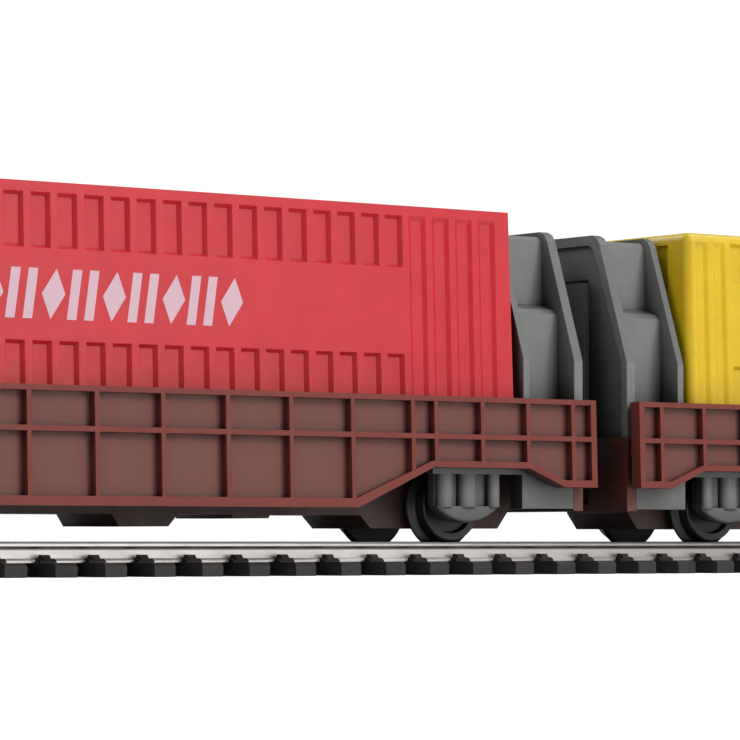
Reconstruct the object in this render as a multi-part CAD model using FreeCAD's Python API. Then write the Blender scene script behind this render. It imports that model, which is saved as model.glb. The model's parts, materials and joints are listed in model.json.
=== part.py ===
import FreeCAD, Part
import math
import os

# Two coupled H0 container wagons standing on a straight piece of track.
# Millimetres. +X runs along the track, +Y across it, +Z up.
# Origin: middle of the track, on the surface that the sleepers rest on.
# Wagon pieces are made about the wagon's own middle with Z = 0 at the rail top, then placed.

V = FreeCAD.Vector
ORIGIN = V(0, 0, 0)
AXIS_X = V(1, 0, 0)
AXIS_Y = V(0, 1, 0)
AXIS_Z = V(0, 0, 1)

# ---------------------------------------------------------------- driving dimensions: track
GAUGE = 16.5
SLEEPER_COUNT = 57
SLEEPER_PITCH = 6.912
SLEEPER_WIDTH = 3.0
SLEEPER_LENGTH = 30.0
SLEEPER_HEIGHT = 1.7
RAIL_HEIGHT = 2.54
RAIL_HEAD_WIDTH = 0.9
RAIL_HEAD_DEPTH = 0.68
RAIL_WEB = 0.5
RAIL_FOOT_WIDTH = 2.2
RAIL_FOOT_DEPTH = 0.32
CHAIR_WIDTH = 1.1
CHAIR_HEIGHT = 0.95
CHAIR_BASE_WIDTH = 2.3
CHAIR_BASE_HEIGHT = 0.5
PIN_HOLE_RADIUS = 0.6
PIN_HOLE_SLEEPERS = 24
TRACK_LENGTH = SLEEPER_COUNT * SLEEPER_PITCH
RAIL_TOP = SLEEPER_HEIGHT + RAIL_HEIGHT
RAIL_CENTRE = (GAUGE + RAIL_HEAD_WIDTH) / 2

# ---------------------------------------------------------------- driving dimensions: wagon
SILL_HALF_LENGTH = 81.3
WAGON_GAP = 7.4
TRAIN_SHIFT = 0.5
WAGON_SPACING = 2 * SILL_HALF_LENGTH + WAGON_GAP
WAGON_X = {"a": TRAIN_SHIFT - WAGON_SPACING / 2, "b": TRAIN_SHIFT + WAGON_SPACING / 2}
AXLE_X = 62.66
AXLE_Z = 4.6

SILL_TOP = 18.35
SILL_FACE = 16.6
SILL_RECESS = 1.1
SILL_SKIN = 0.7
SILL_TILT = 1.7
SILL_DEEP_Z = 4.2
SILL_ARCH_Z = 9.35
SILL_END_Z = 7.0
RIB_WIDTH = 0.6
RIB_CENTRES = [4.67, 14.0, 23.35, 32.7, 42.05, 51.4, 55.06, 62.5, 69.95, 77.4]
MID_RIB_Z = 13.25
MID_RIB_HEIGHT = 0.65
DECK_TOP = 12.4
DECK_BOTTOM = 11.4
DECK_HALF_WIDTH = 14.5
END_BEAM_INNER = 79.6
END_BEAM_HALF_WIDTH = 14.0
END_BEAM_BOTTOM = 4.0
END_BEAM_TOP = 13.8

KEEL_HALF_WIDTH = 6.4
KEEL_WALL = 1.2
KEEL_BOTTOM = 3.35
KEEL_END_BOTTOM = 4.25
BOX_BOTTOM = 1.68
BOX_HALF_BOTTOM = 10.3
BOX_HALF_TOP = 12.0
HULL_BLOCK_BOTTOM = 1.85
SCREW_X = 33.8
SCREW_BOSS_BOTTOM = 2.9

AXLE_RADIUS = 1.0
JOURNAL_RADIUS = 0.6
JOURNAL_START = 10.9
JOURNAL_END = 12.5
RUNNING_CLEARANCE = 0.06
BACK_TO_BACK = 14.3
WHEEL_WIDTH = 2.8
FLANGE_WIDTH = 0.9
FLANGE_RADIUS = 5.6
TREAD_RADIUS = 4.56
TREAD_OUTER_RADIUS = 4.5

GUARD_INNER = 11.6
GUARD_FACE = 12.8
GUARD_COLUMN_FACE = 14.0
GUARD_HALF_WIDTH = 5.1
BOWL_ROUNDING = 0.5

BULKHEAD_INNER = 71.3
BULKHEAD_OUTER = 81.2
BULKHEAD_TOP = 40.9
CORE_STEP = 30.4
POST_TOP = 34.6
POST_HALF_WIDTH = 5.5
POST_DEPTH = 0.9

COUPLER_PIVOT_X = 76.4
COUPLER_MID_X = SILL_HALF_LENGTH + WAGON_GAP / 2
LOOP_PIVOT_X = 82.35
LOOP_PIVOT_Z = 6.3
LOOP_REST_LIFT = 19.0

# ---------------------------------------------------------------- driving dimensions: container
BOX_LENGTH = 139.8
BOX_WIDTH = 27.8
BOX_BASE = DECK_TOP
BOX_TOP = {"a": 42.5, "b": 41.55}
SIDE_DRAFT = 1.8
END_DRAFT = 0.6
WALL = 2.0
SHORT_BAY = {"depth": 0.6, "slope": 0.4}
TALL_BAY = {"depth": 0.35, "slope": 0.55}
LAND = 1.0
PITCH = 3.72
NARROW_PITCH = 3.2
NARROW_BAYS = 2
BAYS = 35
POST = 1.6
TALL_BAYS_RIGHT = 4
TOP_RAIL = 1.25
POCKET_FLOOR = 13.9
BAND_TOP = 34.6
BAND_BOTTOM = 23.65
FLOOR_THICKNESS = 1.4


# ---------------------------------------------------------------- helpers
def box(x0, x1, y0, y1, z0, z1):
    """Box between two corners."""
    return Part.makeBox(x1 - x0, y1 - y0, z1 - z0, V(x0, y0, z0))


def prism_y(points, y0, y1):
    """Outline of (x, z) points, swept from y0 to y1."""
    wire = Part.makePolygon([V(x, y0, z) for x, z in points + points[:1]])
    return Part.Face(wire).extrude(V(0, y1 - y0, 0))


def prism_x(points, x0, x1):
    """Outline of (y, z) points, swept from x0 to x1."""
    wire = Part.makePolygon([V(x0, y, z) for y, z in points + points[:1]])
    return Part.Face(wire).extrude(V(x1 - x0, 0, 0))


def prism_z(points, z0, z1):
    """Outline of (x, y) points, swept from z0 to z1."""
    wire = Part.makePolygon([V(x, y, z0) for x, y in points + points[:1]])
    return Part.Face(wire).extrude(V(0, 0, z1 - z0))


def rod_y(radius, y0, y1, x=0.0, z=0.0):
    """Round bar along Y."""
    return Part.makeCylinder(radius, y1 - y0, V(x, y0, z), AXIS_Y)


def rod_z(radius, z0, z1, x=0.0, y=0.0):
    """Round bar along Z."""
    return Part.makeCylinder(radius, z1 - z0, V(x, y, z0), AXIS_Z)


def flip_x(shape):
    """Mirror image in the plane x = 0."""
    return shape.mirror(ORIGIN, AXIS_X)


def flip_y(shape):
    """Mirror image in the plane y = 0."""
    return shape.mirror(ORIGIN, AXIS_Y)


def both_ends(points):
    """Full outline from the points of its +X half, listed from the middle outwards."""
    return [(-x, z) for x, z in reversed(points)] + points


def join(shapes):
    """One solid from shapes that overlap or touch."""
    return shapes[0].multiFuse(shapes[1:]).removeSplitter()


def save(name, shape):
    """Write one node and report it if its shape is unsound."""
    if not shape.isValid():
        print("not valid:", name)
    shape.exportStep("parts/" + name + ".step")


# ---------------------------------------------------------------- track
def sleeper_places():
    """X of every sleeper's middle."""
    first = -(SLEEPER_COUNT - 1) / 2
    return [(first + i) * SLEEPER_PITCH for i in range(SLEEPER_COUNT)]


def rail_chair(x, y, outward):
    """One chair: a lug on a wider base that grips the rail foot from one side; outward is +1 or -1."""
    edge = RAIL_FOOT_WIDTH / 2 + 0.04
    lip_bottom = RAIL_FOOT_DEPTH + 0.04
    profile = [(edge, -0.3), (edge, lip_bottom), (edge - 0.5, lip_bottom), (edge - 0.35, CHAIR_HEIGHT),
               (edge + 0.45, CHAIR_HEIGHT), (edge + 0.95, 0.3), (edge + 0.95, -0.3)]
    points = [(y + outward * across, SLEEPER_HEIGHT + up) for across, up in profile]
    lug = prism_x(points, x - CHAIR_WIDTH / 2, x + CHAIR_WIDTH / 2)
    profile = [(edge, -0.3), (edge, CHAIR_BASE_HEIGHT), (edge + 0.6, CHAIR_BASE_HEIGHT),
               (edge + 1.1, 0.2), (edge + 1.1, -0.3)]
    points = [(y + outward * across, SLEEPER_HEIGHT + up) for across, up in profile]
    base = prism_x(points, x - CHAIR_BASE_WIDTH / 2, x + CHAIR_BASE_WIDTH / 2)
    return lug.fuse(base)


def joiner_rebate(side):
    """Room under the foot for a rail joiner; side is +1 for the near rail's +X end."""
    x_end = side * TRACK_LENGTH / 2
    y = -side * RAIL_CENTRE
    x0, x1 = sorted([x_end - side * 5.2, x_end + side])
    return box(x0, x1, y - 1.9, y + 1.9, SLEEPER_HEIGHT - 0.35, SLEEPER_HEIGHT + 2)


def sleeper_strip():
    """All sleepers, their chairs and the webs that link them, as one moulding."""
    half = SLEEPER_LENGTH / 2
    pieces = []
    for x in sleeper_places():
        x0 = x - SLEEPER_WIDTH / 2
        x1 = x + SLEEPER_WIDTH / 2
        profile = [(-half, 0), (half, 0), (half, 1.35), (half - 0.35, SLEEPER_HEIGHT),
                   (-half + 0.35, SLEEPER_HEIGHT), (-half, 1.35)]
        pieces.append(prism_x(profile, x0, x1))
        for rail_y in (-RAIL_CENTRE, RAIL_CENTRE):
            pieces.append(rail_chair(x, rail_y, 1))
            pieces.append(rail_chair(x, rail_y, -1))
    web_end = sleeper_places()[-1]
    for y in (-RAIL_CENTRE, RAIL_CENTRE):
        pieces.append(box(-web_end, web_end, y - 0.8, y + 0.8, 0.3, 1.15))
    strip = join(pieces)
    pin_x = PIN_HOLE_SLEEPERS * SLEEPER_PITCH
    holes = [rod_z(PIN_HOLE_RADIUS, -1, 3, x) for x in (-pin_x, pin_x)]
    return strip.cut(Part.makeCompound(holes + [joiner_rebate(1), joiner_rebate(-1)]))


def rail(y):
    """One rail: foot, web and rounded head."""
    foot = RAIL_FOOT_WIDTH / 2
    web = RAIL_WEB / 2
    head = RAIL_HEAD_WIDTH / 2
    head_z = RAIL_HEIGHT - RAIL_HEAD_DEPTH
    half = [(foot, 0), (foot, 0.2), (web + 0.15, RAIL_FOOT_DEPTH), (web, RAIL_FOOT_DEPTH + 0.2),
            (web, head_z - 0.15), (head, head_z + 0.05), (head, RAIL_HEIGHT)]
    profile = [(-across, up) for across, up in reversed(half)] + half
    points = [(y + across, SLEEPER_HEIGHT + up) for across, up in profile]
    bar = prism_x(points, -TRACK_LENGTH / 2, TRACK_LENGTH / 2)
    top_edges = [e for e in bar.Edges if e.BoundBox.ZMin > RAIL_TOP - 0.01 and e.BoundBox.XLength > 1]
    return bar.makeFillet(0.14, top_edges)


def rail_joiner(side):
    """Pressed shoe, half on the rail's end and half ahead of it."""
    length = 9.0
    x_mid = side * TRACK_LENGTH / 2
    y = -side * RAIL_CENTRE
    floor_z = SLEEPER_HEIGHT - 0.27
    foot = RAIL_FOOT_WIDTH / 2 + 0.03
    half = [(foot + 0.22, floor_z), (foot + 0.22, SLEEPER_HEIGHT + 0.5), (0.45, SLEEPER_HEIGHT + 0.86),
            (0.45, SLEEPER_HEIGHT + 0.64), (foot, SLEEPER_HEIGHT + 0.29), (foot, SLEEPER_HEIGHT - 0.02)]
    profile = [(-across, up) for across, up in reversed(half)] + half
    points = [(y + across, up) for across, up in profile]
    return prism_x(points, x_mid - length / 2, x_mid + length / 2)


# ---------------------------------------------------------------- wagon: chassis
def sill_outline():
    """Side view of the fish-belly sill."""
    lower = [(42.7, SILL_DEEP_Z), (54.6, SILL_ARCH_Z), (70.1, SILL_ARCH_Z), (75.8, SILL_END_Z),
             (SILL_HALF_LENGTH, SILL_END_Z), (SILL_HALF_LENGTH, SILL_TOP)]
    return both_ends(lower)


def sill_inner_outline():
    """Side view of the field inside the sill's flanges."""
    lower = [(42.5, 5.35), (54.4, 10.15), (70.2, 10.15), (75.9, 7.9), (80.4, 7.9), (80.4, 17.68)]
    return both_ends(lower)


def side_sill():
    """Sill on the +Y side: thin skin, flanges round its edge, one long rib and upright ribs."""
    back = SILL_FACE - SILL_RECESS
    skin = prism_y(sill_outline(), back - SILL_SKIN, back)
    outer = prism_y(sill_outline(), back, SILL_FACE)
    rim = outer.cut(prism_y(sill_inner_outline(), back - 1, SILL_FACE + 1))
    bars = [box(-81, 81, back, SILL_FACE, MID_RIB_Z - MID_RIB_HEIGHT / 2, MID_RIB_Z + MID_RIB_HEIGHT / 2)]
    for centre in RIB_CENTRES:
        for x in (-centre, centre):
            bars.append(box(x - RIB_WIDTH / 2, x + RIB_WIDTH / 2, back, SILL_FACE, 0, SILL_TOP))
    ribs = Part.makeCompound(bars).common(outer)
    sill = join([skin, rim] + ribs.Solids)
    sill.rotate(V(0, SILL_FACE, SILL_TOP), AXIS_X, SILL_TILT)
    return sill


def end_beam():
    """Cross beam at the +X end, with the opening that the coupling swings in."""
    beam = box(END_BEAM_INNER, BULKHEAD_OUTER, -END_BEAM_HALF_WIDTH, END_BEAM_HALF_WIDTH,
               END_BEAM_BOTTOM, END_BEAM_TOP)
    return beam.cut(box(79, 82, -6.1, 6.1, 4.9, 10.6))


def screw_boss(x):
    """Boss under the deck that takes a screw."""
    return rod_z(1.9, 7.6, DECK_BOTTOM + 0.3, x)


def chassis():
    """Side sills, deck, cross ribs and end beams as one moulding."""
    sill = side_sill()
    deck = box(-END_BEAM_INNER - 1, END_BEAM_INNER + 1, -DECK_HALF_WIDTH, DECK_HALF_WIDTH,
               DECK_BOTTOM, DECK_TOP)
    pieces = [sill, flip_y(sill), deck, end_beam(), flip_x(end_beam())]
    for centre in RIB_CENTRES[:5]:
        for x in (-centre, centre):
            for y0, y1 in ((6.6, DECK_HALF_WIDTH), (-DECK_HALF_WIDTH, -6.6)):
                pieces.append(box(x - 0.4, x + 0.4, y0, y1, 8.0, DECK_BOTTOM + 0.3))
    pieces.append(screw_boss(SCREW_X))
    pieces.append(screw_boss(-SCREW_X))
    body = join(pieces)
    pilot = [rod_z(0.6, 5, DECK_TOP - 0.4, x) for x in (-SCREW_X, SCREW_X)]
    return body.cut(Part.makeCompound(pilot))


# ---------------------------------------------------------------- wagon: underframe
def keel_outline():
    """Side view of the keel, +X half from the middle outwards."""
    box_inner = AXLE_X - BOX_HALF_TOP
    box_outer = AXLE_X + BOX_HALF_TOP
    half = [(13.3, KEEL_BOTTOM), (14.3, HULL_BLOCK_BOTTOM), (21.5, HULL_BLOCK_BOTTOM), (22.9, KEEL_BOTTOM),
            (SCREW_X - 2.9, KEEL_BOTTOM), (SCREW_X - 2.7, SCREW_BOSS_BOTTOM),
            (SCREW_X + 2.7, SCREW_BOSS_BOTTOM), (SCREW_X + 2.9, KEEL_BOTTOM),
            (box_inner, KEEL_BOTTOM), (box_inner, AXLE_Z), (box_outer, AXLE_Z),
            (box_outer, KEEL_END_BOTTOM), (END_BEAM_INNER, KEEL_END_BOTTOM), (END_BEAM_INNER, DECK_BOTTOM)]
    return both_ends(half)


def underframe():
    """Keel box, open to the deck, with coupling pockets and the upper halves of the axle boxes."""
    keel = prism_y(keel_outline(), -KEEL_HALF_WIDTH, KEEL_HALF_WIDTH)
    inside = KEEL_HALF_WIDTH - KEEL_WALL
    cavity_end = AXLE_X - BOX_HALF_TOP - KEEL_WALL
    cuts = [box(-cavity_end, cavity_end, -inside, inside, KEEL_BOTTOM + KEEL_WALL, 12)]
    for side in (-1, 1):
        x_axle = side * AXLE_X
        x_screw = side * SCREW_X
        pocket = sorted([side * 74.0, side * 80.0])
        cuts.append(box(x_axle - 10.4, x_axle + 10.4, -inside, inside, 4, 12))
        cuts.append(box(x_axle - 4.8, x_axle + 4.8, -7, 7, 10.4, 12))
        cuts.append(rod_y(AXLE_RADIUS + 0.3, -7, 7, x_axle, AXLE_Z))
        cuts.append(rod_z(0.85, 2, 6, x_screw))
        cuts.append(rod_z(1.65, 2, SCREW_BOSS_BOTTOM + 0.95, x_screw))
        cuts.append(box(pocket[0], pocket[1], -5.3, 5.3, 5.1, 8.9))
    keel = keel.cut(Part.makeCompound(cuts))
    pegs = [rod_z(1.0, 5.0, 9.0, side * COUPLER_PIVOT_X) for side in (-1, 1)]
    return join([keel] + pegs)


def axle_cover():
    """Tray clipped under an axle, made about the axle's middle."""
    outline = [(-BOX_HALF_TOP, AXLE_Z), (-BOX_HALF_TOP, KEEL_BOTTOM), (-BOX_HALF_BOTTOM, BOX_BOTTOM),
               (BOX_HALF_BOTTOM, BOX_BOTTOM), (BOX_HALF_TOP, KEEL_BOTTOM + 0.5), (BOX_HALF_TOP, AXLE_Z)]
    tray = prism_y(outline, -KEEL_HALF_WIDTH, KEEL_HALF_WIDTH)
    inside = KEEL_HALF_WIDTH - KEEL_WALL
    hollow = box(-9.2, 9.2, -inside, inside, BOX_BOTTOM + 1.0, 6)
    notch = rod_y(AXLE_RADIUS + 0.3, -7, 7, 0, AXLE_Z)
    return tray.cut(Part.makeCompound([hollow, notch]))


def ballast_bar():
    """Steel weight that lies in the keel."""
    bar = box(-29.5, 29.5, -4.9, 4.9, KEEL_BOTTOM + KEEL_WALL + 0.05, 8.0)
    return bar.makeChamfer(0.3, [e for e in bar.Edges if e.BoundBox.ZMin > 7.9])


def screws():
    """Two pan-head screws with cross slots, driven up from under the keel."""
    solids = []
    for x in (-SCREW_X, SCREW_X):
        head_top = SCREW_BOSS_BOTTOM + 0.9
        head = rod_z(1.5, SCREW_BOSS_BOTTOM + 0.1, head_top, x)
        shank = rod_z(0.58, head_top - 0.1, 11.2, x)
        slots = [box(x - 1.0, x + 1.0, -0.18, 0.18, 2, 3.4), box(x - 0.18, x + 0.18, -1.0, 1.0, 2, 3.4)]
        solids.append(join([head, shank]).cut(Part.makeCompound(slots)))
    return Part.makeCompound(solids)


# ---------------------------------------------------------------- wagon: running gear
def axle():
    """Steel axle with stub journals, about its own middle."""
    journals = [rod_y(JOURNAL_RADIUS, -JOURNAL_END, JOURNAL_END)]
    return join([rod_y(AXLE_RADIUS, -JOURNAL_START, JOURNAL_START)] + journals)


def wheel():
    """Flanged wheel on the +Y side: dished face, hub and coned tread."""
    inner = BACK_TO_BACK / 2
    outer = inner + WHEEL_WIDTH
    flange_outer = inner + FLANGE_WIDTH
    section = [(AXLE_RADIUS, inner), (5.1, inner), (5.45, inner + 0.12), (FLANGE_RADIUS, inner + 0.35),
               (5.5, inner + 0.6), (4.75, flange_outer - 0.04), (TREAD_RADIUS, flange_outer + 0.12),
               (TREAD_OUTER_RADIUS, outer - 0.15), (4.35, outer), (3.55, outer), (3.3, outer - 0.75),
               (1.95, outer - 0.75), (1.75, outer - 0.1), (AXLE_RADIUS, outer - 0.1)]
    wire = Part.makePolygon([V(radius, y, 0) for radius, y in section + section[:1]])
    return Part.Face(wire).revolve(ORIGIN, AXIS_Y, 360)


def guard_side():
    """One side of an axle guard at +Y, about the axle's X; +X is the wagon's end."""
    arc = Part.Arc(V(-GUARD_HALF_WIDTH, 0, 4.5), V(0, 0, 2.36), V(GUARD_HALF_WIDTH, 0, 4.5)).toShape()
    rest = Part.makePolygon([V(GUARD_HALF_WIDTH, 0, 4.5), V(GUARD_HALF_WIDTH, 0, DECK_BOTTOM),
                             V(-GUARD_HALF_WIDTH, 0, DECK_BOTTOM), V(-GUARD_HALF_WIDTH, 0, 4.5)])
    face = Part.Face(Part.Wire([arc] + rest.Edges))
    face.translate(V(0, GUARD_INNER, 0))
    plate = face.extrude(V(0, GUARD_FACE - GUARD_INNER, 0))
    bowl_face = Part.Face(Part.Wire([arc, Part.makeLine(V(-GUARD_HALF_WIDTH, 0, 4.5),
                                                        V(GUARD_HALF_WIDTH, 0, 4.5))]))
    bowl_face.translate(V(0, GUARD_FACE - 0.1, 0))
    bowl = bowl_face.extrude(V(0, 0.85, 0))
    rim = [e for e in bowl.Edges if e.BoundBox.YMin > GUARD_FACE + 0.5 and e.BoundBox.ZLength > 1]
    pieces = [plate, bowl.makeFillet(BOWL_ROUNDING, rim)]
    for x0, x1 in ((-4.9, -2.5), (-1.45, 1.45), (3.2, 5.0)):
        column = box(x0, x1, GUARD_FACE - 0.1, GUARD_COLUMN_FACE, 4.4, 9.6)
        upright = [e for e in column.Edges if e.BoundBox.ZLength > 4 and e.BoundBox.YMin > GUARD_FACE]
        pieces.append(column.makeFillet(0.4 * (x1 - x0), upright))
    pieces.append(box(-6.2, 16.9, GUARD_FACE - 0.1, GUARD_COLUMN_FACE + 0.1, 8.6, 9.7))
    pieces.append(box(8.4, 16.9, GUARD_INNER, GUARD_COLUMN_FACE, 4.25, DECK_BOTTOM))
    pieces.append(box(-6.2, 16.9, GUARD_INNER, GUARD_COLUMN_FACE, 9.6, DECK_BOTTOM))
    side = join(pieces)
    return side.cut(rod_y(JOURNAL_RADIUS + RUNNING_CLEARANCE, 11, JOURNAL_END + 0.1, 0, AXLE_Z))


def axle_guard():
    """Both sides of an axle guard and the strap that joins them over the axle."""
    side = guard_side()
    strap = box(-4.6, 4.6, -GUARD_FACE, GUARD_FACE, 10.45, DECK_BOTTOM)
    return join([side, flip_y(side), strap])


# ---------------------------------------------------------------- wagon: bulkhead
def bulkhead_outline(half_base, half_top, top, corner):
    """End view of the bulkhead: upright, then leaning in, with clipped top corners."""
    right = [(half_base, DECK_TOP), (half_base, 23.6), (half_top + 0.25, top - corner),
             (half_top - corner * 0.25, top - corner * 0.35), (half_top - corner, top)]
    return right + [(-y, z) for y, z in reversed(right)]


def bulkhead():
    """Hollow end frame: two flanged plates with a stepped box between them."""
    outline = bulkhead_outline(14.0, 8.2, BULKHEAD_TOP, 1.3)
    end_plate = prism_x(outline, BULKHEAD_OUTER - 1.4, BULKHEAD_OUTER)
    inner_plate = prism_x(outline, BULKHEAD_INNER, BULKHEAD_INNER + 1.0)
    lower = [(10.5, DECK_TOP), (10.5, CORE_STEP - 0.6), (9.9, CORE_STEP), (7.3, CORE_STEP + 0.8)]
    upper = [(7.3, BULKHEAD_TOP - 1.2), (6.9, BULKHEAD_TOP - 0.7)]
    right = lower + upper
    core = prism_x(right + [(-y, z) for y, z in reversed(right)], BULKHEAD_INNER + 0.5, BULKHEAD_OUTER - 0.5)
    hollow = prism_x([(9.3, 11), (9.3, CORE_STEP - 1.4), (6.1, CORE_STEP - 0.4), (6.1, 38.4), (-6.1, 38.4),
                      (-6.1, CORE_STEP - 0.4), (-9.3, CORE_STEP - 1.4), (-9.3, 11)],
                     BULKHEAD_INNER + 1.4, BULKHEAD_OUTER - 1.9)
    frame = join([end_plate, inner_plate, core])
    panel_outline = bulkhead_outline(12.8, 7.1, BULKHEAD_TOP - 1.3, 1.0)
    panel = prism_x(panel_outline, BULKHEAD_OUTER - 0.6, BULKHEAD_OUTER + 1)
    post = box(BULKHEAD_OUTER - 1.2, BULKHEAD_OUTER - 0.6 + POST_DEPTH, -POST_HALF_WIDTH, POST_HALF_WIDTH,
               END_BEAM_TOP, POST_TOP)
    slot = box(BULKHEAD_OUTER - 1.2, BULKHEAD_OUTER + 1, -POST_HALF_WIDTH, POST_HALF_WIDTH,
               POST_TOP, POST_TOP + 0.45)
    foot = box(END_BEAM_INNER - 0.15, BULKHEAD_OUTER + 1, -15, 15, 11, END_BEAM_TOP + 0.05)
    frame = frame.cut(Part.makeCompound([hollow, panel]))
    frame = join([frame, post])
    return frame.cut(Part.makeCompound([slot, foot]))


# ---------------------------------------------------------------- wagon: coupling
def coupling():
    """Shank at the +X end: eye on the peg, bar through the end beam, head with hook and buffer."""
    eye = rod_z(2.1, 5.4, 8.6, COUPLER_PIVOT_X)
    bar = box(COUPLER_PIVOT_X, 82.6, -1.3, 1.3, 5.6, 8.0)
    block = box(81.6, 84.3, -1.8, 1.8, 5.6, 7.2)
    nose = rod_z(4.0, 5.6, 7.2, COUPLER_MID_X - 0.15 - 4.0)
    nose = nose.common(box(83.5, 85, -1.8, 1.8, 5, 8))
    hook = prism_y([(83.95, 7.0), (83.95, 8.4), (84.2, 8.4), (84.7, 7.0)], -1.1, 1.1)
    shape = join([eye, bar, block, nose, hook])
    peg_hole = rod_z(1.0 + RUNNING_CLEARANCE, 5, 9, COUPLER_PIVOT_X)
    loop_hole = rod_y(0.35, -3, 3, LOOP_PIVOT_X, LOOP_PIVOT_Z)
    return shape.cut(Part.makeCompound([peg_hole, loop_hole]))


def coupling_loop(lift):
    """Loop at the +X end: two arms from pivot pins, narrowing to a cross bar that drops behind a hook."""
    outer = [(81.5, 3.3), (84.0, 3.3), (86.3, 2.2), (87.1, 1.8)]
    inner = [(81.0, 2.7), (83.9, 2.7), (86.2, 1.6), (86.5, 1.5)]
    outer_ring = outer + [(x, -y) for x, y in reversed(outer)]
    inner_ring = inner + [(x, -y) for x, y in reversed(inner)]
    plan = prism_z(outer_ring, 4, 11).cut(prism_z(inner_ring, 3, 12))
    side = [(LOOP_PIVOT_X - 0.65, 5.75), (LOOP_PIVOT_X + 0.55, 5.75), (83.6, 8.6), (86.3, 8.6), (86.5, 7.6),
            (87.1, 7.6), (87.0, 9.0), (86.8, 9.2), (83.3, 9.2), (LOOP_PIVOT_X - 0.65, 6.9)]
    loop = plan.common(prism_y(side, -4, 4))
    pins = [rod_y(0.3, -3.0, -1.0, LOOP_PIVOT_X, LOOP_PIVOT_Z), rod_y(0.3, 1.0, 3.0, LOOP_PIVOT_X, LOOP_PIVOT_Z)]
    loop = join(loop.Solids + pins)
    loop.rotate(V(LOOP_PIVOT_X, 0, LOOP_PIVOT_Z), AXIS_Y, -lift)
    return loop


# ---------------------------------------------------------------- container
def tapered_box(half_x, half_y, z0, z1):
    """Closed box whose sides lean in by the mould draft."""
    rise = z1 - z0
    top_x = half_x - rise * math.tan(math.radians(END_DRAFT))
    top_y = half_y - rise * math.tan(math.radians(SIDE_DRAFT))
    low = [V(-half_x, -half_y, z0), V(half_x, -half_y, z0), V(half_x, half_y, z0), V(-half_x, half_y, z0)]
    high = [V(-top_x, -top_y, z1), V(top_x, -top_y, z1), V(top_x, top_y, z1), V(-top_x, top_y, z1)]
    rings = [low[::-1], high]
    for i in range(4):
        j = (i + 1) % 4
        rings.append([low[i], low[j], high[j], high[i]])
    faces = [Part.Face(Part.makePolygon(ring + ring[:1])) for ring in rings]
    return Part.Solid(Part.Shell(faces))


def pocket_spans():
    """Start and end of every recess between upright ribs, from the -X end to the +X end."""
    spans = []
    x = -BOX_LENGTH / 2 + POST
    for i in range(NARROW_BAYS + BAYS):
        pitch = NARROW_PITCH if i < NARROW_BAYS else PITCH
        spans.append((x, min(x + pitch - LAND, BOX_LENGTH / 2 - POST)))
        x += pitch
    return spans


def side_pocket(x0, x1, z0, z1, depth, slope):
    """Recess of the +Y side whose four walls slope; the corners are those at the face."""
    face = BOX_WIDTH / 2
    proud = 0.3
    flare = slope * proud / depth
    return Part.makeWedge(x0 + slope, face - depth, z0 + slope, z0 - flare, x0 - flare,
                          x1 - slope, face + proud, z1 - slope, z1 + flare, x1 + flare)


def side_pockets(pocket_top):
    """Recesses of the +Y side: full height beyond the sign band, above and below it elsewhere."""
    spans = pocket_spans()
    pockets = []
    for i, (x0, x1) in enumerate(spans):
        if i < NARROW_BAYS or i >= len(spans) - TALL_BAYS_RIGHT:
            pockets.append(side_pocket(x0, x1, POCKET_FLOOR, pocket_top, **TALL_BAY))
        else:
            pockets.append(side_pocket(x0, x1, POCKET_FLOOR, BAND_BOTTOM, **SHORT_BAY))
            pockets.append(side_pocket(x0, x1, BAND_TOP, pocket_top, **SHORT_BAY))
    pockets = Part.makeCompound(pockets)
    pockets.rotate(V(0, BOX_WIDTH / 2, BOX_BASE), AXIS_X, SIDE_DRAFT)
    return pockets


def roof_pockets(top):
    """Shallow recesses across the roof."""
    depth = 0.45
    return [box(x0 + 0.3, x1 - 0.3, -11.4, 11.4, top - depth, top + 1) for x0, x1 in pocket_spans()]


def end_pockets():
    """Upright recesses of the plain end at -X."""
    x_face = -BOX_LENGTH / 2
    cuts = []
    for i in range(5):
        y0 = -9.0 + i * 3.75
        cut = box(x_face - 1, x_face + 0.8, y0, y0 + 2.9, 15, 40)
        cut.rotate(V(x_face, 0, BOX_BASE), AXIS_Y, END_DRAFT)
        cuts.append(cut)
    return cuts


def door_end():
    """Cuts that leave two door leaves with lock rods at the +X end."""
    x_face = BOX_LENGTH / 2
    field = box(x_face - 0.7, x_face + 1, -12.0, 12.0, 14.5, 40.5)
    keep = [box(x_face - 2, x_face + 2, -0.5, 0.5, 13, 42)]
    for y in (-9.2, -3.4, 3.4, 9.2):
        keep.append(box(x_face - 2, x_face + 2, y - 0.4, y + 0.4, 13, 42))
        keep.append(box(x_face - 2, x_face + 2, y - 0.9, y + 0.9, 24.5, 25.5))
    for z in (18.0, 30.5, 37.0):
        keep.append(box(x_face - 2, x_face + 2, -12.5, -10.9, z, z + 0.9))
        keep.append(box(x_face - 2, x_face + 2, 10.9, 12.5, z, z + 0.9))
    field = field.cut(Part.makeCompound(keep))
    field.rotate(V(x_face, 0, BOX_BASE), AXIS_Y, -END_DRAFT)
    return field


def container_shell(top, corner_radius):
    """Roof and four walls, open below."""
    body = tapered_box(BOX_LENGTH / 2, BOX_WIDTH / 2, BOX_BASE, top)
    if corner_radius > 0:
        outside = [e for e in body.Edges if e.BoundBox.ZMax > top - 0.01]
        body = body.makeFillet(corner_radius, outside)
    inner = tapered_box(BOX_LENGTH / 2 - WALL, BOX_WIDTH / 2 - WALL, BOX_BASE, top - WALL + 0.4)
    inner = join([inner, box(-66, 66, -11, 11, BOX_BASE - 1, BOX_BASE + 1)])
    pockets = side_pockets(top - TOP_RAIL)
    cuts = pockets.Solids + flip_y(pockets).Solids + roof_pockets(top) + end_pockets() + door_end().Solids
    body = body.cut(inner)
    body = body.cut(Part.makeCompound(cuts))
    return body


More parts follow.
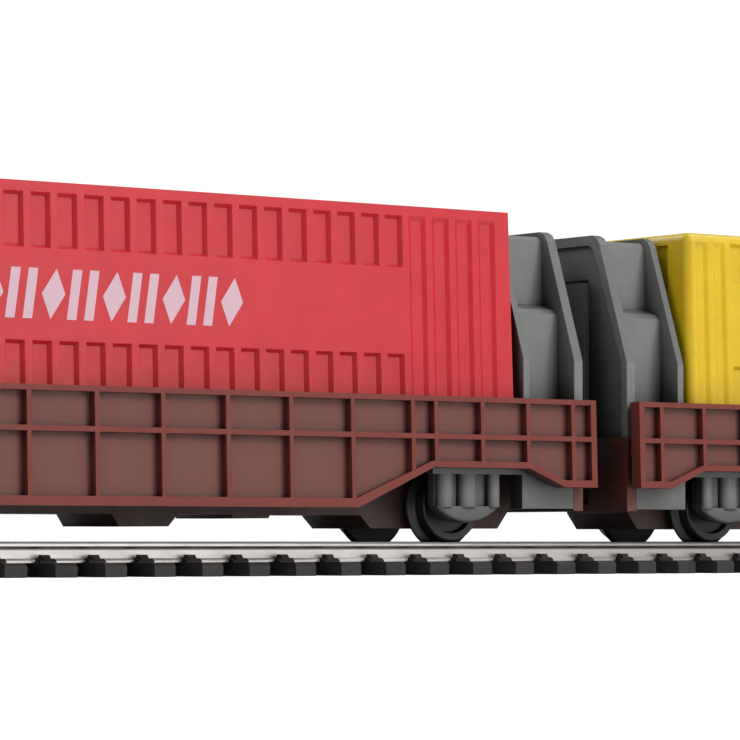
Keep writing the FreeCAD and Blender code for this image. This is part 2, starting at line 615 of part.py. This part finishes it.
def container_floor():
    """Plate snapped into the foot of the shell, with two runners that stiffen it."""
    gap = 0.08
    half_x = BOX_LENGTH / 2 - WALL - gap
    half_y = BOX_WIDTH / 2 - WALL - gap
    plate = tapered_box(half_x, half_y, BOX_BASE, BOX_BASE + FLOOR_THICKNESS)
    runners = [box(-60, 60, y - 0.6, y + 0.6, BOX_BASE + 1, BOX_BASE + 4) for y in (-6, 6)]
    return join([plate] + runners)


# ---------------------------------------------------------------- assembly
def place(shape, wagon_x):
    """Move a wagon piece to its place on the rails."""
    return shape.translated(V(wagon_x, 0, RAIL_TOP))


def save_track():
    save("sleeper_strip", sleeper_strip())
    save("near_rail", rail(-RAIL_CENTRE))
    save("far_rail", rail(RAIL_CENTRE))
    save("rail_joiners", Part.makeCompound([rail_joiner(1), rail_joiner(-1)]))


def save_wheelset(name, wagon_x, axle_x):
    """Axle and two wheels; near is -Y."""
    centre = V(wagon_x + axle_x, 0, RAIL_TOP + AXLE_Z)
    save(name + "_axle", axle().translated(centre))
    save(name + "_near_wheel", flip_y(wheel()).translated(centre))
    save(name + "_far_wheel", wheel().translated(centre))


def save_wagon(tag, corner_radius, loop_lifts):
    """Every node of one wagon; its two ends are called left (-X) and right (+X)."""
    wagon_x = WAGON_X[tag]
    save(tag + "_chassis", place(chassis(), wagon_x))
    save(tag + "_underframe", place(underframe(), wagon_x))
    save(tag + "_ballast_bar", place(ballast_bar(), wagon_x))
    save(tag + "_screws", place(screws(), wagon_x))
    save(tag + "_container_shell", place(container_shell(BOX_TOP[tag], corner_radius), wagon_x))
    save(tag + "_container_floor", place(container_floor(), wagon_x))
    cover = axle_cover()
    guard = axle_guard()
    for end, side in (("left", -1), ("right", 1)):
        name = tag + "_" + end
        turned = flip_x if side < 0 else lambda shape: shape
        shift = V(side * AXLE_X, 0, 0)
        save(name + "_axle_cover", place(turned(cover).translated(shift), wagon_x))
        save(name + "_axle_guard", place(turned(guard).translated(shift), wagon_x))
        save(name + "_bulkhead", place(turned(bulkhead()), wagon_x))
        save(name + "_coupling", place(turned(coupling()), wagon_x))
        save(name + "_coupling_loop", place(turned(coupling_loop(loop_lifts[end])), wagon_x))
        save_wheelset(name, wagon_x, side * AXLE_X)


os.makedirs("parts", exist_ok=True)
save_track()
save_wagon("a", 0.0, {"left": 0.0, "right": 0.0})
save_wagon("b", 1.3, {"left": LOOP_REST_LIFT, "right": 0.0})
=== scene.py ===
import bpy
import bmesh
import json
import math
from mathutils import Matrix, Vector


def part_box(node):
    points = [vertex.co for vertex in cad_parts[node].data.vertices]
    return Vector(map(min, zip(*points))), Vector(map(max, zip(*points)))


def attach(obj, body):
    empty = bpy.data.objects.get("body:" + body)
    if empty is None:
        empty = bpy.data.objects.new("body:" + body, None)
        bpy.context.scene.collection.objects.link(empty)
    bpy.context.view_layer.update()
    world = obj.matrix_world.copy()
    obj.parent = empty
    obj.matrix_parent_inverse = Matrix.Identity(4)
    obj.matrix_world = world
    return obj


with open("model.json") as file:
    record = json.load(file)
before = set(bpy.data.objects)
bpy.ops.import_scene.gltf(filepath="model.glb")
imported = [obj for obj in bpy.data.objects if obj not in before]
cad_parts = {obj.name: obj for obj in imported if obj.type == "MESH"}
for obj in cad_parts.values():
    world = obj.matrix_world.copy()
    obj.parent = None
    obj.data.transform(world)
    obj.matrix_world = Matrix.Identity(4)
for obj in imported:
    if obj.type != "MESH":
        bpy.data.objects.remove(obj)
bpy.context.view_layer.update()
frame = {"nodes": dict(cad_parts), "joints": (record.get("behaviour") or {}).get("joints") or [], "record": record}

# Looks for two container wagons on a piece of track. Metres, same frame as the CAD model.

MM = 0.001
NODES = frame["nodes"]
RAIL_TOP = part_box("near_rail")[1].z
AXLE_POINT = Vector(next(j["pos_m"] for j in frame["joints"] if j["name"] == "a_right_wheels_turn"))

# the sills' outer faces lean: |y| + SILL_LEAN * z is SILL_REACH all over them
SILL_LEAN = math.tan(math.radians(1.7))
SILL_REACH = 17.27 * MM
SUNK_FULLY = 0.95 * MM
SUNK_BARELY = 0.2 * MM

# the camera: angles in degrees, and its place from the right axle of the left wagon
VIEW_AZIMUTH = 36.5
VIEW_PITCH = 2.654
VIEW_OFFSET = Vector((-291.3, -386.0, 0.0)) * MM
LENS = 180.0
SENSOR = 36.0
CLIP_START = 0.01
CLIP_END = 50.0

# noise scales, in cycles per metre or so
WAVE = 120.0
CLOUD = 260.0
SHINE = 500.0
PATCH = 900.0
GRAIN = 9000.0

# how far corners gather dust, how far painted shade reaches into closed-in places, and the heights over which
# painted shade darkens what is near the rails
DUST_REACH = 1.2 * MM
PAINTED_SHADE_REACH = 24.0 * MM
WHEEL_PAINTED_SHADE_REACH = 12.0 * MM
LOW_SHADE_FROM = RAIL_TOP + 1.5 * MM
LOW_SHADE_TO = RAIL_TOP + 6.5 * MM
AO_SAMPLES = 6

# light: name, place in metres, size in metres and power in watts
LIGHT_TARGET = (0.0, 0.0, 0.02)
LIGHTS = [
    ("key", (0.42, -1.10, 0.90), 0.8, 15.0),
    ("top", (0.55, -0.05, 1.20), 0.8, 8.0),
    ("low", (0.50, -1.05, 0.16), 0.35, 1.1),
    ("left", (-0.95, -0.25, 0.62), 0.6, 2.6),
    ("back", (-0.15, 1.15, 0.75), 0.8, 7.0),
]
WORLD_LIGHT = 0.12
WORLD_SEEN = 1.05
FLOOR_HALF = 6.0
FLOOR_DROP = 0.02 * MM
FLOOR_GLOW = 0.45

# sockets of a colour Mix node
MIX_FACTOR = 0
MIX_A = 6
MIX_B = 7
MIX_RESULT = 2


# ---------------------------------------------------------------- shader helpers
class Graph:
    """A new material with one Principled surface, and short ways to add and wire nodes."""

    def __init__(self, name):
        self.mat = bpy.data.materials.new(name)
        self.mat.use_nodes = True
        self.nodes = self.mat.node_tree.nodes
        self.links = self.mat.node_tree.links
        self.surface = self.nodes["Principled BSDF"]
        self.object_coords = self.nodes.new("ShaderNodeTexCoord").outputs["Object"]

    def add(self, kind, inputs=(), **settings):
        node = self.nodes.new("ShaderNode" + kind)
        for key, value in settings.items():
            setattr(node, key, value)
        for socket, value in dict(inputs).items():
            self.put(node.inputs[socket], value)
        return node

    def put(self, socket, value):
        """Wires an output into a socket, or sets a constant on it."""
        if isinstance(value, bpy.types.NodeSocket):
            self.links.new(value, socket)
        else:
            socket.default_value = value

    def set(self, socket, value):
        self.put(self.surface.inputs[socket], value)

    def stretched(self, scale):
        """Object coordinates in metres, times a scale for each axis."""
        return self.add("Mapping", {"Vector": self.object_coords, "Scale": scale}).outputs["Vector"]

    def noise(self, scale, detail=3.0, rough=0.55, where=None):
        where = self.object_coords if where is None else where
        node = self.add("TexNoise", {"Vector": where, "Scale": scale, "Detail": detail, "Roughness": rough})
        return node.outputs["Fac"]

    def ramp(self, value, low, high, from_low=0.0, from_high=1.0):
        node = self.add("MapRange", {"Value": value, "From Min": from_low, "From Max": from_high,
                                     "To Min": low, "To Max": high})
        return node.outputs["Result"]

    def blend(self, factor, a, b, mode="MIX"):
        node = self.add("Mix", data_type="RGBA", blend_type=mode)
        self.put(node.inputs[MIX_FACTOR], factor)
        self.put(node.inputs[MIX_A], a)
        self.put(node.inputs[MIX_B], b)
        return node.outputs[MIX_RESULT]

    def math(self, operation, a, b=0.0):
        node = self.add("Math", operation=operation)
        self.put(node.inputs[0], a)
        self.put(node.inputs[1], b)
        return node.outputs[0]

    def bump(self, height, strength, distance, normal=None):
        node = self.add("Bump", {"Height": height, "Strength": strength, "Distance": distance})
        if normal is not None:
            self.put(node.inputs["Normal"], normal)
        return node.outputs["Normal"]

    def crevice(self, distance):
        """1 in the open, towards 0 deep in corners."""
        return self.add("AmbientOcclusion", {"Distance": distance}, samples=AO_SAMPLES).outputs["AO"]


def rgb(r, g, b):
    return (r, g, b, 1.0)


def scaled(colour, k):
    return rgb(colour[0] * k, colour[1] * k, colour[2] * k)


# ---------------------------------------------------------------- materials
def moulded(name, colour, dust, rough=0.42, speck=0.04, grain=0.25, deep=0.0,
            span=(0.16, 0.66), low=0.0, shine=0.45, sunk_panel_sheen=None, slope=0.0):
    """Injection-moulded plastic: cloudy and finely grained, with dust in its corners.

    deep and span darken places closed in between pieces with painted shade, low darkens what is near the rails
    with painted shade, slope darkens faces that look up with painted shade, and the colour given for the sills'
    sunk panels is a painted sheen, greyer, on their flat faces.
    """
    g = Graph(name)
    cloud = g.ramp(g.noise(CLOUD, 4.0, 0.6), 0.0, 1.0, 0.3, 0.7)
    body = g.blend(cloud, scaled(colour, 1.0 - speck * 2), scaled(colour, 1.0 + speck * 2))
    place = g.add("SeparateXYZ", {"Vector": g.object_coords})
    facing = g.add("SeparateXYZ", {"Vector": g.add("NewGeometry").outputs["Normal"]})
    # painted sheen: a greyer colour on the flat faces of the sills' sunk panels
    if sunk_panel_sheen is not None:
        lean = g.math("MULTIPLY", place.outputs["Z"], SILL_LEAN)
        reach = g.math("ADD", g.math("ABSOLUTE", place.outputs["Y"]), lean)
        sunk = g.ramp(reach, 1.0, 0.0, SILL_REACH - SUNK_FULLY, SILL_REACH - SUNK_BARELY)
        flat = g.ramp(g.math("ABSOLUTE", facing.outputs["Y"]), 0.0, 1.0, 0.85, 0.97)
        body = g.blend(g.math("MULTIPLY", sunk, flat), body, sunk_panel_sheen)
    corner = g.ramp(g.crevice(DUST_REACH), 0.55, 0.0, 0.25, 0.9)
    patch = g.math("MULTIPLY", corner, g.ramp(g.noise(PATCH, 3.0), 0.3, 1.0, 0.35, 0.65))
    # painted shade: darker in places closed in by other pieces, as strong as deep over span
    painted_shade = g.ramp(g.crevice(PAINTED_SHADE_REACH), 1.0 - deep, 1.0, *span)
    # painted shade: darker close above the rails, as strong as low
    low_painted_shade = g.ramp(place.outputs["Z"], 1.0 - low, 1.0, LOW_SHADE_FROM, LOW_SHADE_TO)
    shade = g.math("MULTIPLY", painted_shade, low_painted_shade)
    # painted shade: faces that look up are made darker, as strong as slope
    if slope:
        shade = g.math("MULTIPLY", shade, g.ramp(facing.outputs["Z"], 1.0, 1.0 - slope, 0.03, 0.22))
    g.set("Base Color", g.blend(1.0, g.blend(patch, body, dust), shade, "MULTIPLY"))
    fine = g.noise(GRAIN, 2.0, 0.5)
    g.set("Roughness", g.ramp(g.noise(SHINE, 3.0), rough - 0.06, rough + 0.08, 0.3, 0.7))
    g.set("Specular IOR Level", shine)
    wave = g.bump(g.noise(WAVE, 2.0), 0.18, 0.3 * MM)
    g.set("Normal", g.bump(fine, grain, 0.02 * MM, wave))
    return g.mat


def rail_metal():
    """Drawn nickel silver: fine lines along the rail, smoother head, paler and rougher web and foot."""
    g = Graph("rail_metal")
    lines = g.noise(1.0, 4.0, 0.7, g.stretched((60.0, GRAIN, GRAIN)))
    place = g.add("SeparateXYZ", {"Vector": g.object_coords})
    height = place.outputs["Z"]
    head = g.ramp(height, 0.0, 1.0, RAIL_TOP - 0.9 * MM, RAIL_TOP - 0.55 * MM)
    tarnish = g.noise(180.0, 5.0, 0.65)
    low = g.blend(g.ramp(tarnish, 0.0, 1.0, 0.35, 0.7), rgb(0.86, 0.83, 0.80), rgb(0.62, 0.58, 0.55))
    high = g.blend(lines, rgb(0.52, 0.49, 0.47), rgb(0.66, 0.63, 0.60))
    steel = g.blend(head, low, high)
    # painted shadow and painted reflection of the wagons: darker towards the right end, plus a little real tarnish
    along = g.ramp(place.outputs["X"], 1.0, 0.66, -60.0 * MM, 30.0 * MM)
    shade_and_tarnish = g.math("ADD", along, g.ramp(tarnish, -0.1, 0.1, 0.3, 0.7))
    # painted reflection: a dark line along the top of the head; painted shadow: a dark band below the head
    crown_painted_reflection = g.ramp(height, 0.0, 0.75, RAIL_TOP - 0.34 * MM, RAIL_TOP - 0.24 * MM)
    under = g.math("MULTIPLY", g.ramp(height, 1.0, 0.0, RAIL_TOP - 0.60 * MM, RAIL_TOP - 0.50 * MM),
                   g.ramp(height, 0.0, 0.9, RAIL_TOP - 1.10 * MM, RAIL_TOP - 0.92 * MM))
    painted_reflection_and_shadow = g.math("MAXIMUM", crown_painted_reflection, under)
    shaded_steel = g.blend(1.0, steel, shade_and_tarnish, "MULTIPLY")
    # near-black for the painted reflection and the painted shadow
    g.set("Base Color", g.blend(painted_reflection_and_shadow, shaded_steel, rgb(0.06, 0.052, 0.05)))
    g.set("Metallic", 1.0)
    rough = g.math("ADD", g.ramp(head, 0.42, 0.26), g.ramp(lines, -0.05, 0.08))
    g.set("Roughness", rough)
    g.set("Normal", g.bump(lines, 0.35, 0.03 * MM))
    return g.mat


def sleeper_plastic():
    """Black moulded sleepers with wood grain along each sleeper and a little grey dust."""
    g = Graph("sleeper_plastic")
    grain = g.noise(1.0, 6.0, 0.65, g.stretched((2600.0, 160.0, 2600.0)))
    tone = g.noise(1.0, 1.0, 0.5, g.stretched((150.0, 12.0, 20.0)))
    dark = g.blend(g.ramp(tone, 0.0, 1.0, 0.35, 0.65), rgb(0.010, 0.009, 0.009), rgb(0.022, 0.018, 0.017))
    dust = g.ramp(g.noise(700.0, 4.0, 0.7), 0.0, 0.35, 0.5, 0.75)
    g.set("Base Color", g.blend(dust, dark, rgb(0.05, 0.045, 0.042)))
    g.set("Roughness", g.ramp(grain, 0.45, 0.7))
    g.set("Normal", g.bump(grain, 0.6, 0.08 * MM))
    return g.mat


def turned_metal(name, colour, rough=0.3, lines=(WAVE, GRAIN, WAVE)):
    """Turned or rolled steel with fine lines."""
    g = Graph(name)
    marks = g.noise(1.0, 3.0, 0.6, g.stretched(lines))
    stain = g.noise(300.0, 4.0, 0.6)
    g.set("Base Color", g.blend(g.ramp(stain, 0.0, 1.0, 0.35, 0.7), colour, scaled(colour, 0.72)))
    g.set("Metallic", 1.0)
    g.set("Roughness", g.ramp(marks, rough - 0.06, rough + 0.12))
    g.set("Normal", g.bump(marks, 0.25, 0.02 * MM))
    return g.mat


def wheel_black():
    """Blackened wheel whose rim is rubbed brighter by the rail, with painted shade where other parts close round
    it.
    """
    g = Graph("wheel_black")
    generated = g.nodes["Texture Coordinate"].outputs["Generated"]
    axis = g.add("SeparateXYZ", {"Vector": generated})
    across = g.math("SUBTRACT", axis.outputs["X"], 0.5)
    up = g.math("SUBTRACT", axis.outputs["Z"], 0.5)
    reach = g.math("SQRT", g.math("ADD", g.math("MULTIPLY", across, across), g.math("MULTIPLY", up, up)))
    rim = g.math("MULTIPLY", g.ramp(reach, 0.0, 1.0, 0.34, 0.39), g.ramp(g.noise(600.0, 4.0), 0.55, 1.0))
    body = g.blend(g.noise(400.0, 3.0), rgb(0.006, 0.006, 0.007), rgb(0.014, 0.013, 0.013))
    # painted shade: darker where other parts close round the wheel
    wheel_painted_shade = g.ramp(g.crevice(WHEEL_PAINTED_SHADE_REACH), 0.25, 1.0, 0.2, 0.8)
    g.set("Base Color", g.blend(1.0, g.blend(rim, body, rgb(0.085, 0.083, 0.08)), wheel_painted_shade, "MULTIPLY"))
    g.set("Metallic", g.ramp(rim, 0.0, 0.7))
    g.set("Roughness", g.ramp(rim, 0.42, 0.33))
    g.set("Normal", g.bump(g.noise(6000.0, 2.0), 0.2, 0.02 * MM))
    return g.mat


def print_ink(name, colour):
    """Pad-printed ink: nearly even, with tiny thin spots."""
    g = Graph(name)
    thin = g.ramp(g.noise(2600.0, 4.0, 0.7), 0.0, 0.5, 0.52, 0.78)
    g.set("Base Color", g.blend(thin, colour, scaled(colour, 0.78)))
    g.set("Roughness", g.ramp(g.noise(SHINE, 3.0), 0.4, 0.52))
    g.set("Normal", g.bump(g.noise(5000.0, 2.0), 0.12, 0.01 * MM))
    return g.mat


def floor_paper():
    """Pale studio paper."""
    g = Graph("floor_paper")
    fibre = g.noise(700.0, 5.0, 0.65)
    mottle = g.ramp(fibre, 0.0, 1.0, 0.3, 0.7)
    g.set("Base Color", g.blend(mottle, rgb(0.88, 0.88, 0.88), rgb(0.93, 0.93, 0.93)))
    g.set("Roughness", g.ramp(fibre, 0.75, 0.9))
    g.set("Normal", g.bump(fibre, 0.1, 0.05 * MM))
    seen = g.add("LightPath").outputs["Is Camera Ray"]
    g.set("Emission Color", rgb(1.0, 1.0, 1.0))
    g.set("Emission Strength", g.ramp(seen, 0.0, FLOOR_GLOW))
    return g.mat


def all_materials():
    red = (0.52, 0.016, 0.022)
    yellow = (0.65, 0.44, 0.010)
    brown = (0.168, 0.030, 0.020)
    return {
        "rail_metal": rail_metal(),
        "joiner_metal": turned_metal("joiner_metal", rgb(0.62, 0.58, 0.50), 0.35, (80.0, 7000.0, 7000.0)),
        "sleeper_plastic": sleeper_plastic(),
        # deep, span, low and slope set painted shade, and the brown's sunk panel colour is a painted sheen
        "brown_plastic": moulded("brown_plastic", brown, rgb(0.175, 0.115, 0.10), 0.46, deep=0.95,
                                 span=(0.22, 0.52), shine=0.32, sunk_panel_sheen=rgb(0.160, 0.055, 0.041)),
        "underframe_plastic": moulded("underframe_plastic", (0.115, 0.056, 0.046), rgb(0.12, 0.078, 0.064), 0.5,
                                      deep=0.75, span=(0.25, 0.62)),
        "grey_plastic": moulded("grey_plastic", (0.172, 0.175, 0.170), rgb(0.15, 0.145, 0.13), 0.44, deep=0.95,
                                span=(0.24, 0.48), low=0.7, slope=0.35),
        "red_plastic": moulded("red_plastic", red, rgb(0.40, 0.05, 0.05), 0.38, 0.03, 0.2),
        "yellow_plastic": moulded("yellow_plastic", yellow, rgb(0.50, 0.36, 0.06), 0.38, 0.03, 0.2),
        "wheel_black": wheel_black(),
        "axle_steel": turned_metal("axle_steel", rgb(0.52, 0.51, 0.50)),
        "ballast_steel": turned_metal("ballast_steel", rgb(0.38, 0.36, 0.34), 0.45, (60.0, 5000.0, 5000.0)),
        "screw_steel": turned_metal("screw_steel", rgb(0.60, 0.60, 0.58), 0.3),
        "coupling_plastic": moulded("coupling_plastic", (0.018, 0.018, 0.019), rgb(0.04, 0.038, 0.035), 0.45),
        "coupling_wire": turned_metal("coupling_wire", rgb(0.06, 0.06, 0.065), 0.35),
        "sign_print": print_ink("sign_print", rgb(0.60, 0.40, 0.46)),
    }


# ---------------------------------------------------------------- CAD nodes
BEVEL_SEGMENTS = 2
BEVEL_ANGLE = 35.0
# widths in millimetres, by how a node's name ends
BEVEL = {"chassis": 0.14, "container_shell": 0.16, "bulkhead": 0.22, "axle_guard": 0.24, "underframe": 0.12,
         "axle_cover": 0.12, "sleeper_strip": 0.06, "coupling": 0.08}


def soften(obj, width):
    """Rounds the sharp edges of a piece a little, as a mould does."""
    bevel = obj.modifiers.new("soft_edges", "BEVEL")
    bevel.width = width * MM
    bevel.segments = BEVEL_SEGMENTS
    bevel.limit_method = "ANGLE"
    bevel.angle_limit = math.radians(BEVEL_ANGLE)
    bevel.harden_normals = True


def dress_nodes(materials):
    """Gives every CAD node its procedural material and soft edges."""
    slots = {p["node"]: p["material_slot"] for p in frame["record"]["subparts"]}
    for name, obj in NODES.items():
        obj.data.materials.clear()
        obj.data.materials.append(materials[slots[name]])
        for ending, width in BEVEL.items():
            if name.endswith(ending):
                soften(obj, width)


# ---------------------------------------------------------------- printed pattern
# millimetres; heights are above the rail, and PRINT_LEAN is a share of the height
PRINT_FOOT = 26.2
PRINT_HEAD = 32.2
PRINT_END_INSET = 42.0
PRINT_GROUPS = 10
PRINT_PITCH = 8.5
PRINT_BAR = 1.3
PRINT_LEAN = 0.16
PRINT_PROUD = 0.02
SECOND_BAR = 1.85 * PRINT_BAR
LOZENGE_START = 3.55 * PRINT_BAR
LOZENGE_WIDTH = 2.5 * PRINT_BAR
# the container's sides lean in by this many degrees from its foot
SIDE_DRAFT = 1.8
CONTAINER_BASE = 12.4


def leaning_bar(x, width, low, high):
    """Outline of one slanted bar, (x, z) from its lower left corner round."""
    lean = (high - low) * PRINT_LEAN
    return [(x, low), (x + width, low), (x + width + lean, high), (x + lean, high)]


def lozenge(x, width, low, high):
    """Outline of one slanted diamond."""
    middle = (low + high) / 2
    lean = (high - low) * PRINT_LEAN
    return [(x + width / 2, low), (x + width + lean / 2, middle),
            (x + width / 2 + lean, high), (x + lean / 2, middle)]


def print_outlines(x_end):
    """Bars and lozenges in turn, ending at x_end on the +X side."""
    outlines = []
    for i in range(PRINT_GROUPS):
        x = x_end - (PRINT_GROUPS - i) * PRINT_PITCH
        outlines.append(leaning_bar(x, PRINT_BAR, PRINT_FOOT, PRINT_HEAD))
        outlines.append(leaning_bar(x + SECOND_BAR, PRINT_BAR, PRINT_FOOT, PRINT_HEAD))
        outlines.append(lozenge(x + LOZENGE_START, LOZENGE_WIDTH, PRINT_FOOT, PRINT_HEAD))
    return outlines


def print_pattern(name, body, shell, material, side):
    """Thin raised print on the sign band of one side; side is -1 for near and 1 for far."""
    low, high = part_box(shell)
    base = RAIL_TOP / MM + CONTAINER_BASE
    foot_y = max(abs(low.y), abs(high.y)) / MM
    slant = math.tan(math.radians(SIDE_DRAFT))
    bm = bmesh.new()
    for outline in print_outlines(high.x / MM - PRINT_END_INSET):
        rings = []
        for proud in (PRINT_PROUD, -PRINT_PROUD):
            ring = []
            for x, up in outline:
                z = RAIL_TOP / MM + up
                y = side * (foot_y - (z - base) * slant + proud)
                ring.append(bm.verts.new((x * MM, y * MM, z * MM)))
            rings.append(ring)
        bm.faces.new(rings[0])
        for i in range(len(outline)):
            j = (i + 1) % len(outline)
            bm.faces.new((rings[0][i], rings[1][i], rings[1][j], rings[0][j]))
        bm.faces.new(rings[1][::-1])
    bmesh.ops.recalc_face_normals(bm, faces=bm.faces)
    mesh = bpy.data.meshes.new(name)
    bm.to_mesh(mesh)
    bm.free()
    obj = bpy.data.objects.new(name, mesh)
    bpy.context.scene.collection.objects.link(obj)
    mesh.materials.append(material)
    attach(obj, body)


# ---------------------------------------------------------------- stage
def make_floor():
    """Large plain floor, a hair under the sleepers."""
    mesh = bpy.data.meshes.new("floor")
    half = FLOOR_HALF
    corners = [(-half, -half, 0), (half, -half, 0), (half, half, 0), (-half, half, 0)]
    mesh.from_pydata(corners, [], [(0, 1, 2, 3)])
    floor = bpy.data.objects.new("floor", mesh)
    bpy.context.scene.collection.objects.link(floor)
    floor.location.z = -FLOOR_DROP
    mesh.materials.append(floor_paper())


def add_area(name, place, size, power):
    """Soft square light aimed at the object, not seen by the camera itself."""
    light = bpy.data.lights.new(name, "AREA")
    light.energy = power
    light.size = size
    obj = bpy.data.objects.new(name, light)
    bpy.context.scene.collection.objects.link(obj)
    obj.location = place
    obj.rotation_euler = (Vector(LIGHT_TARGET) - Vector(place)).to_track_quat("-Z", "Y").to_euler()
    obj.visible_camera = False


def make_world():
    """White surroundings, seen at full white and lighting the object more softly."""
    world = bpy.data.worlds.new("studio")
    bpy.context.scene.world = world
    world.use_nodes = True
    nodes = world.node_tree.nodes
    links = world.node_tree.links
    background = nodes["Background"]
    background.inputs["Color"].default_value = (1, 1, 1, 1)
    path = nodes.new("ShaderNodeLightPath")
    strength = nodes.new("ShaderNodeMapRange")
    strength.inputs["To Min"].default_value = WORLD_LIGHT
    strength.inputs["To Max"].default_value = WORLD_SEEN
    links.new(path.outputs["Is Camera Ray"], strength.inputs["Value"])
    links.new(strength.outputs["Result"], background.inputs["Strength"])


def make_camera():
    """Long lens at rail height, looking along the train from its near left."""
    camera = bpy.data.cameras.new("camera")
    camera.lens = LENS
    camera.sensor_width = SENSOR
    camera.clip_start = CLIP_START
    camera.clip_end = CLIP_END
    obj = bpy.data.objects.new("camera", camera)
    bpy.context.scene.collection.objects.link(obj)
    place = AXLE_POINT + VIEW_OFFSET
    obj.location = (place.x, place.y, RAIL_TOP)
    obj.rotation_euler = (math.radians(90.0 + VIEW_PITCH), 0.0, math.radians(-VIEW_AZIMUTH))
    bpy.context.scene.camera = obj


# ---------------------------------------------------------------- scene
bpy.context.scene.view_settings.view_transform = "Standard"
MATERIALS = all_materials()
dress_nodes(MATERIALS)
print_pattern("print_near", "a_container", "a_container_shell", MATERIALS["sign_print"], -1)
print_pattern("print_far", "a_container", "a_container_shell", MATERIALS["sign_print"], 1)
make_floor()
for lamp in LIGHTS:
    add_area(*lamp)
make_world()
make_camera()
